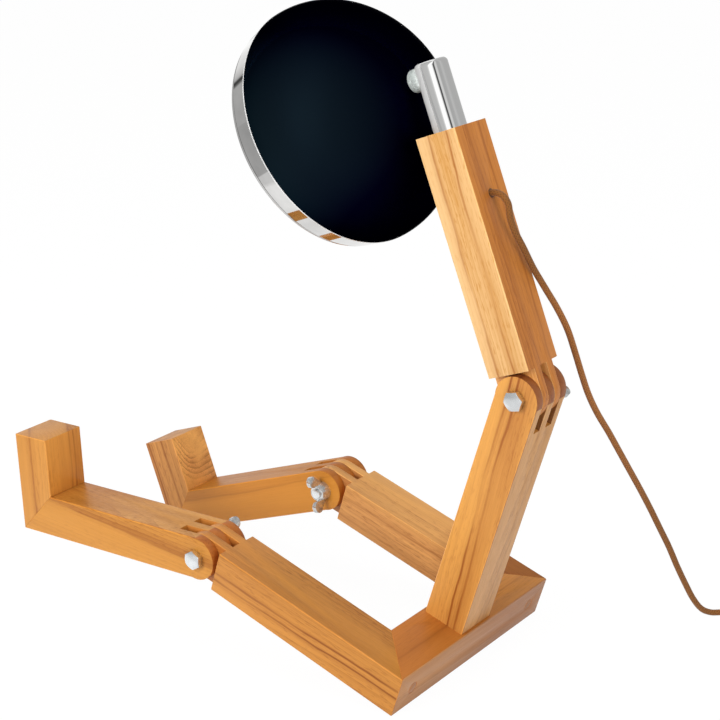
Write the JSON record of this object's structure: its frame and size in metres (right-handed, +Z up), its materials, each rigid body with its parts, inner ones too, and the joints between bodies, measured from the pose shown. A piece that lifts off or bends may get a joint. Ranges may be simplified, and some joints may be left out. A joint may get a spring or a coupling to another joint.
{
  "type": "jointed_figure_lamp",
  "caption": "Wooden lamp shaped as a seated figure with jointed knees and waist, a black domed head with a bright rim on a tube neck, and a brown fabric cord.",
  "frame": {"origin": "on the floor under the middle of the figure's box, the cord left out", "axes": "the figure faces -Y, its left side is +X, +Z is up"},
  "size_m": [0.3744, 0.8733, 0.6137],
  "materials": {
    "timber": "oiled pine with darker streaks along the grain",
    "dowel_wood": "plain hardwood",
    "zinc": "bright zinc plate",
    "chrome": "polished chrome",
    "black_enamel": "glossy black enamel",
    "frosted_glass": "frosted glass",
    "bulb_glass": "opal glass",
    "reflector_metal": "bright spun aluminium",
    "seal_rubber": "black rubber",
    "brown_rubber": "brown rubber",
    "cord_fabric": "woven copper brown sleeve",
    "flex_plastic": "grey plastic sheath",
    "holder_plastic": "heat proof moulding",
    "brown_plastic": "dark brown moulding",
    "pin_brass": "plain brass"
  },
  "bodies": {
    "seat": {"seat_bar": "timber", "left_thigh": "timber", "right_thigh": "timber", "spine": "timber", "corner_plugs": "dowel_wood", "corner_screws": "zinc", "spine_dowels": "dowel_wood", "waist_bolt": "zinc", "cord_floor": "cord_fabric", "cord_coil": "cord_fabric", "switch_base": "brown_plastic", "switch_cover": "brown_plastic", "plug_body": "brown_plastic", "plug_pins": "pin_brass"},
    "left_leg": {"left_shin": "timber", "left_foot": "timber", "left_foot_dowels": "dowel_wood", "left_knee_bolt": "zinc"},
    "right_leg": {"right_shin": "timber", "right_foot": "timber", "right_foot_dowels": "dowel_wood", "right_knee_bolt": "zinc"},
    "left_knee_nut": {"left_knee_wing_nut": "zinc"},
    "right_knee_nut": {"right_knee_wing_nut": "zinc"},
    "waist_nut": {"waist_wing_nut": "zinc"},
    "trunk": {"torso": "timber", "cable_grommet": "brown_rubber", "inner_flex": "flex_plastic", "cord_hang": "cord_fabric"},
    "neck": {"neck_tube": "chrome", "ball_cup": "chrome"},
    "head": {"ball_stud": "zinc", "stud_nut": "zinc", "head_shell": "black_enamel", "rim_ring": "chrome", "glass_seal": "seal_rubber", "front_glass": "frosted_glass", "reflector": "reflector_metal", "lamp_holder": "holder_plastic", "bulb": "bulb_glass"},
    "rocker": {"switch_rocker": "brown_plastic"}
  },
  "joints": [
    {"name": "left_knee", "type": "hinge", "parent": "seat", "child": "left_leg", "pos_m": [0.1, -0.03307, 0.09844], "axis": [1, 0, 0], "range_deg": [-19.4, 75]},
    {"name": "right_knee", "type": "hinge", "parent": "seat", "child": "right_leg", "pos_m": [-0.1, -0.03307, 0.09844], "axis": [1, 0, 0], "range_deg": [-37.81, 57]},
    {"name": "waist", "type": "hinge", "parent": "seat", "child": "trunk", "pos_m": [0, 0.26299, 0.28527], "axis": [1, 0, 0], "range_deg": [-40, 30]},
    {"name": "neck_swivel", "type": "hinge", "parent": "trunk", "child": "neck", "pos_m": [0, 0.18135, 0.51202], "axis": [0, -0.3387, 0.9409], "range_deg": [-7, 17]},
    {"name": "head_tilt", "type": "hinge", "parent": "neck", "child": "head", "pos_m": [-0.00171, 0.14617, 0.5509], "axis": [0.9963, -0.0804, -0.0289], "range_deg": [-23, 1]},
    {"name": "left_knee_nut_turn", "type": "hinge", "parent": "left_leg", "child": "left_knee_nut", "pos_m": [0.1, -0.03307, 0.09844], "axis": [1, 0, 0], "continuous": true},
    {"name": "right_knee_nut_turn", "type": "hinge", "parent": "right_leg", "child": "right_knee_nut", "pos_m": [-0.1, -0.03307, 0.09844], "axis": [1, 0, 0], "continuous": true},
    {"name": "waist_nut_turn", "type": "hinge", "parent": "seat", "child": "waist_nut", "pos_m": [0, 0.26299, 0.28527], "axis": [1, 0, 0], "continuous": true},
    {"name": "rocker_press", "type": "hinge", "parent": "seat", "child": "rocker", "pos_m": [-0.23, 0.455, 0.0135], "axis": [1, 0, 0], "range_deg": [-16, 0]}
  ]
}
